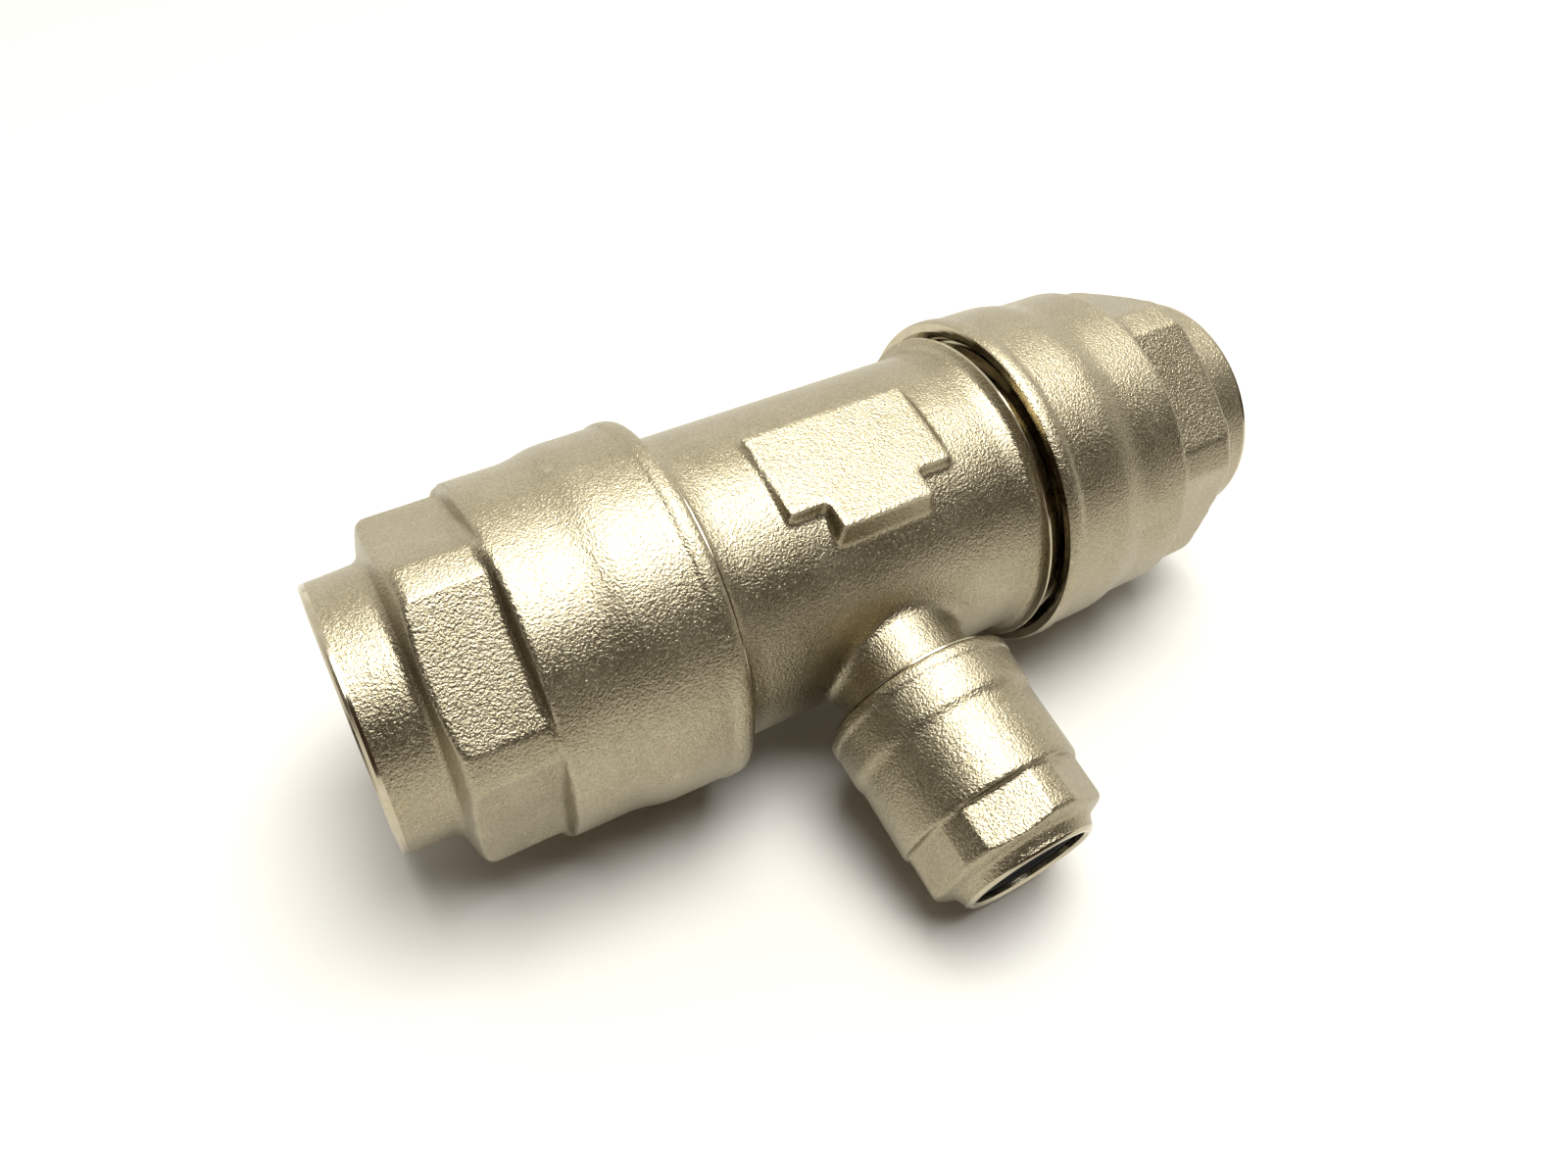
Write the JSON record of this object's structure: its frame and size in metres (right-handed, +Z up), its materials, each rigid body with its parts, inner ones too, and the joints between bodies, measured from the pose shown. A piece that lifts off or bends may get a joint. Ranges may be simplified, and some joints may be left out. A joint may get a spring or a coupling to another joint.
{
  "type": "push to connect reducing tee fitting",
  "caption": "Nickel-plated brass push-in tee for rigid air tube: two in-line large ports and a smaller side port, each closed by a screwed-on hexagon nut over a toothed grip cartridge.",
  "frame": {"origin": "bottom centre of the bounding box, on the surface the fitting lies on", "axes": "+X along the run towards the right-hand port, -Y towards the branch port, which dips 15.4 degrees below the horizontal to the surface, +Z up"},
  "size_m": [0.1746, 0.1038, 0.0659],
  "materials": {
    "nickel_plate": "shot-blasted forging with nickel plating, satin; rims and collars turned bright",
    "stainless": "bright stamped stainless",
    "acetal": "satin moulded",
    "rubber": "matte, lightly greased"
  },
  "bodies": {
    "tee": {"tee_body": "nickel_plate", "left_spacer_ring": "acetal", "left_tube_seal": "rubber", "left_nut_seal": "rubber", "right_spacer_ring": "acetal", "right_tube_seal": "rubber", "right_nut_seal": "rubber", "branch_spacer_ring": "acetal", "branch_tube_seal": "rubber", "branch_nut_seal": "rubber"},
    "left_cartridge": {"left_guide_bush": "acetal", "left_backing_washer": "stainless", "left_grip_ring": "stainless"},
    "left_nut": {"left_nut": "nickel_plate"},
    "right_cartridge": {"right_guide_bush": "acetal", "right_backing_washer": "stainless", "right_grip_ring": "stainless"},
    "right_nut": {"right_nut": "nickel_plate"},
    "branch_cartridge": {"branch_guide_bush": "acetal", "branch_backing_washer": "stainless", "branch_grip_ring": "stainless"},
    "branch_nut": {"branch_nut": "nickel_plate"}
  },
  "joints": [
    {"name": "left_nut_advance", "type": "slide", "parent": "tee", "child": "left_cartridge", "axis": [-1, 0, 0], "range_m": [0, 0.01601]},
    {"name": "left_nut_turn", "type": "hinge", "parent": "left_cartridge", "child": "left_nut", "pos_m": [-0.001, 0.01896, 0.03296], "axis": [-1, 0, 0], "range_deg": [0, 2880]},
    {"name": "right_nut_advance", "type": "slide", "parent": "tee", "child": "right_cartridge", "axis": [1, 0, 0], "range_m": [-0.00201, 0.01401]},
    {"name": "right_nut_turn", "type": "hinge", "parent": "right_cartridge", "child": "right_nut", "pos_m": [-0.001, 0.01896, 0.03296], "axis": [1, 0, 0], "range_deg": [-360, 2520]},
    {"name": "branch_nut_advance", "type": "slide", "parent": "tee", "child": "branch_cartridge", "axis": [0, -0.9641, -0.2656], "range_m": [0, 0.01201]},
    {"name": "branch_nut_turn", "type": "hinge", "parent": "branch_cartridge", "child": "branch_nut", "pos_m": [-0.001, -0.03657, 0.01766], "axis": [0, -0.9641, -0.2656], "range_deg": [0, 2880]}
  ],
  "couplings": [
    {"joint": "left_nut_advance", "follows": "left_nut_turn", "m_per_rad": 0.00031831},
    {"joint": "right_nut_advance", "follows": "right_nut_turn", "m_per_rad": 0.00031831},
    {"joint": "branch_nut_advance", "follows": "branch_nut_turn", "m_per_rad": 0.00023873}
  ]
}
